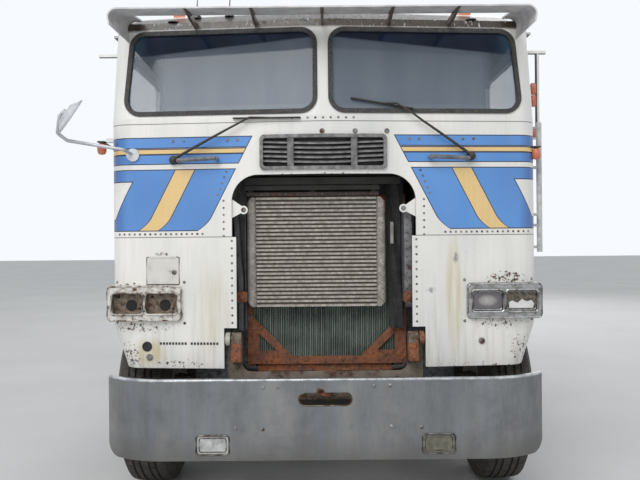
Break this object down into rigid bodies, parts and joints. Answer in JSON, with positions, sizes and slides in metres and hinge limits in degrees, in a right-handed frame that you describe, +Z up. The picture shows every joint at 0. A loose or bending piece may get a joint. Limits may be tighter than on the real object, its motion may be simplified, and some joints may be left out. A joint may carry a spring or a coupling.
{
  "type": "semi truck tractor unit",
  "caption": "Cab-over semi truck tractor with sleeper cab, steered front wheels and dual-wheel tandem drive axles.",
  "frame": {"origin": "on the ground at the centre of the tractor's outline", "axes": "+Z up, front faces -Y, +X towards the tractor's left (driver's) side"},
  "size_m": [2.641, 6.3, 3.15],
  "materials": {
    "cab_paint": "weathered gloss",
    "visor_paint": "weathered",
    "bumper_steel": "brushed",
    "frame_paint": "weathered",
    "rusted_steel": "rusted",
    "cooler_aluminium": "dull",
    "radiator_fins": "dull",
    "cast_iron": "rough",
    "tank_aluminium": "satin",
    "flap_rubber": "matt",
    "red_lens": "moulded",
    "amber_lens": "faded",
    "exhaust_chrome": "polished",
    "window_glass": "tinted",
    "seal_rubber": "matt",
    "louvre_paint": "weathered",
    "bezel_chrome": "worn",
    "lamp_glass": "ribbed",
    "rail_paint": "gloss",
    "mirror_shell": "polished",
    "seat_fabric": "woven",
    "dash_plastic": "grained",
    "wheel_rubber": "smooth",
    "floor_paint": "worn",
    "tyre_rubber": "treaded",
    "wheel_paint": "weathered"
  },
  "bodies": {
    "chassis": {"frame_rails": "frame_paint", "crossmembers": "frame_paint", "front_crossmember": "rusted_steel", "bumper": "bumper_steel", "driving_lamps": "lamp_glass", "radiator_frame": "rusted_steel", "radiator_core": "radiator_fins", "charge_air_cooler": "cooler_aluminium", "engine_and_gearbox": "cast_iron", "front_axle": "cast_iron", "front_springs": "frame_paint", "drive_axles": "cast_iron", "rear_suspension": "frame_paint", "driveshafts": "cast_iron", "fuel_tanks": "tank_aluminium", "battery_boxes": "frame_paint", "fifth_wheel": "cast_iron", "mud_flaps": "flap_rubber", "tail_lamps": "red_lens", "exhaust_stack": "exhaust_chrome"},
    "cab": {"front_panel": "cab_paint", "corner_panels": "cab_paint", "side_walls": "cab_paint", "rear_wall": "cab_paint", "roof": "cab_paint", "cab_floor": "floor_paint", "cab_glass": "window_glass", "windshield_seals": "seal_rubber", "visor": "visor_paint", "intake_louvre": "louvre_paint", "headlamp_bezels": "bezel_chrome", "headlamps": "lamp_glass", "marker_lamps": "amber_lens", "grab_rails": "rail_paint", "round_mirror": "mirror_shell", "seats": "seat_fabric", "dashboard": "dash_plastic", "steering_wheel": "wheel_rubber"},
    "door_left": {"door_left": "cab_paint", "door_glass_left": "window_glass"},
    "door_right": {"door_right": "cab_paint", "door_glass_right": "window_glass"},
    "knuckle_left": {"knuckle_left": "cast_iron"},
    "knuckle_right": {"knuckle_right": "cast_iron"},
    "tie_rod": {"tie_rod": "cast_iron"},
    "front_wheel_left": {"front_tyre_left": "tyre_rubber", "front_rim_left": "wheel_paint"},
    "fore_wheels_left": {"fore_tyres_left": "tyre_rubber", "fore_rims_left": "wheel_paint"},
    "aft_wheels_left": {"aft_tyres_left": "tyre_rubber", "aft_rims_left": "wheel_paint"},
    "front_wheel_right": {"front_tyre_right": "tyre_rubber", "front_rim_right": "wheel_paint"},
    "fore_wheels_right": {"fore_tyres_right": "tyre_rubber", "fore_rims_right": "wheel_paint"},
    "aft_wheels_right": {"aft_tyres_right": "tyre_rubber", "aft_rims_right": "wheel_paint"}
  },
  "joints": [
    {"name": "cab_tilt", "type": "hinge", "parent": "chassis", "child": "cab", "pos_m": [0, -2.88, 0.93], "axis": [1, 0, 0], "range_deg": [0, 70]},
    {"name": "door_left_hinge", "type": "hinge", "parent": "cab", "child": "door_left", "pos_m": [1.158, -2.627, 1.7], "axis": [0, 0, -1], "range_deg": [0, 70]},
    {"name": "door_right_hinge", "type": "hinge", "parent": "cab", "child": "door_right", "pos_m": [-1.158, -2.627, 1.7], "axis": [0, 0, 1], "range_deg": [0, 70]},
    {"name": "steer_left", "type": "hinge", "parent": "chassis", "child": "knuckle_left", "pos_m": [0.85, -2.25, 0.523], "axis": [0, 0, 1], "range_deg": [-32, 32]},
    {"name": "steer_right", "type": "hinge", "parent": "chassis", "child": "knuckle_right", "pos_m": [-0.85, -2.25, 0.523], "axis": [0, 0, 1], "range_deg": [-32, 32]},
    {"name": "tie_rod_end", "type": "hinge", "parent": "knuckle_left", "child": "tie_rod", "pos_m": [0.85, -2.05, 0.4], "axis": [0, 0, 1], "range_deg": [-32, 32]},
    {"name": "front_wheel_left_spin", "type": "hinge", "parent": "knuckle_left", "child": "front_wheel_left", "pos_m": [1.016, -2.25, 0.523], "axis": [1, 0, 0], "continuous": true},
    {"name": "fore_wheels_left_spin", "type": "hinge", "parent": "chassis", "child": "fore_wheels_left", "pos_m": [0.908, 1.28, 0.523], "axis": [1, 0, 0], "continuous": true},
    {"name": "aft_wheels_left_spin", "type": "hinge", "parent": "chassis", "child": "aft_wheels_left", "pos_m": [0.908, 2.6, 0.523], "axis": [1, 0, 0], "continuous": true},
    {"name": "front_wheel_right_spin", "type": "hinge", "parent": "knuckle_right", "child": "front_wheel_right", "pos_m": [-1.016, -2.25, 0.523], "axis": [1, 0, 0], "continuous": true},
    {"name": "fore_wheels_right_spin", "type": "hinge", "parent": "chassis", "child": "fore_wheels_right", "pos_m": [-0.908, 1.28, 0.523], "axis": [1, 0, 0], "continuous": true},
    {"name": "aft_wheels_right_spin", "type": "hinge", "parent": "chassis", "child": "aft_wheels_right", "pos_m": [-0.908, 2.6, 0.523], "axis": [1, 0, 0], "continuous": true}
  ],
  "couplings": [
    {"joint": "steer_right", "follows": "steer_left", "ratio": 1},
    {"joint": "tie_rod_end", "follows": "steer_left", "ratio": -1}
  ]
}
